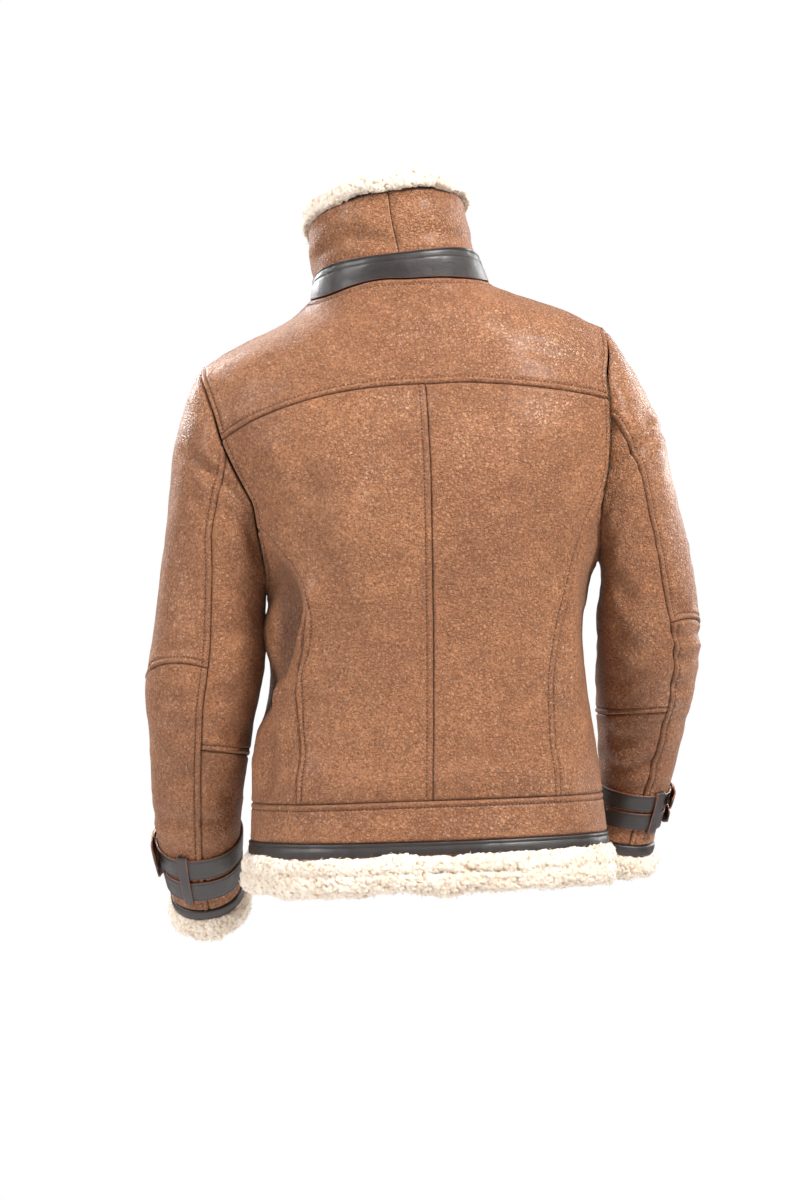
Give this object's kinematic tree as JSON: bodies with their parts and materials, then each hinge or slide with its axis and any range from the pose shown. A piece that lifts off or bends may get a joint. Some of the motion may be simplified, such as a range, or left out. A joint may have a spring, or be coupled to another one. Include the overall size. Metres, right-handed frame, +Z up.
{
  "type": "shearling jacket",
  "caption": "Worn shearling jacket: tan hide outside, curly wool at collar, hem and cuffs, dark leather bands and buckled cuff straps.",
  "frame": {"origin": "middle of the neck base, where the wearer's shoulders and neck hold the jacket", "axes": "+Z up the wearer's body, -Y out of the front, +X to the wearer's left"},
  "size_m": [0.6413, 0.3205, 0.8856],
  "materials": {
    "tan_leather": "tan shearling hide, crackled satin",
    "dark_leather": "dark brown smooth leather, satin",
    "wool": "cream curly wool",
    "tape": "dark brown woven zip tape",
    "brass": "aged brass"
  },
  "bodies": {
    "jacket": {"back_yoke": "tan_leather", "back_centre_left": "tan_leather", "back_centre_right": "tan_leather", "back_side_left": "tan_leather", "back_side_right": "tan_leather", "front_left": "tan_leather", "front_right": "tan_leather", "waistband": "tan_leather", "hem_binding": "dark_leather", "hem_fur": "wool", "collar_left": "tan_leather", "collar_right": "tan_leather", "collar_band": "dark_leather", "collar_fur": "wool", "sleeve_left_top_upper": "tan_leather", "sleeve_left_top_lower": "tan_leather", "sleeve_left_under_upper": "tan_leather", "sleeve_left_under_lower": "tan_leather", "cuff_left_binding": "dark_leather", "cuff_left_fur": "wool", "cuff_left_strap_1": "dark_leather", "cuff_left_buckle_1": "brass", "cuff_left_strap_2": "dark_leather", "cuff_left_buckle_2": "brass", "cuff_left_keeper": "dark_leather", "sleeve_right_top_upper": "tan_leather", "sleeve_right_top_lower": "tan_leather", "sleeve_right_under_upper": "tan_leather", "sleeve_right_under_lower": "tan_leather", "cuff_right_binding": "dark_leather", "cuff_right_fur": "wool", "cuff_right_strap_1": "dark_leather", "cuff_right_buckle_1": "brass", "cuff_right_strap_2": "dark_leather", "cuff_right_buckle_2": "brass", "cuff_right_keeper": "dark_leather", "zip_tape_left": "tape", "zip_tape_right": "tape", "zip_slider": "brass"},
    "zip_pull": {"zip_pull": "brass"}
  },
  "joints": [
    {"name": "zip_pull_swing", "type": "hinge", "parent": "jacket", "child": "zip_pull", "pos_m": [-0.01994, -0.10911, -0.08794], "axis": [-1, 0, 0], "range_deg": [0, 150]}
  ]
}
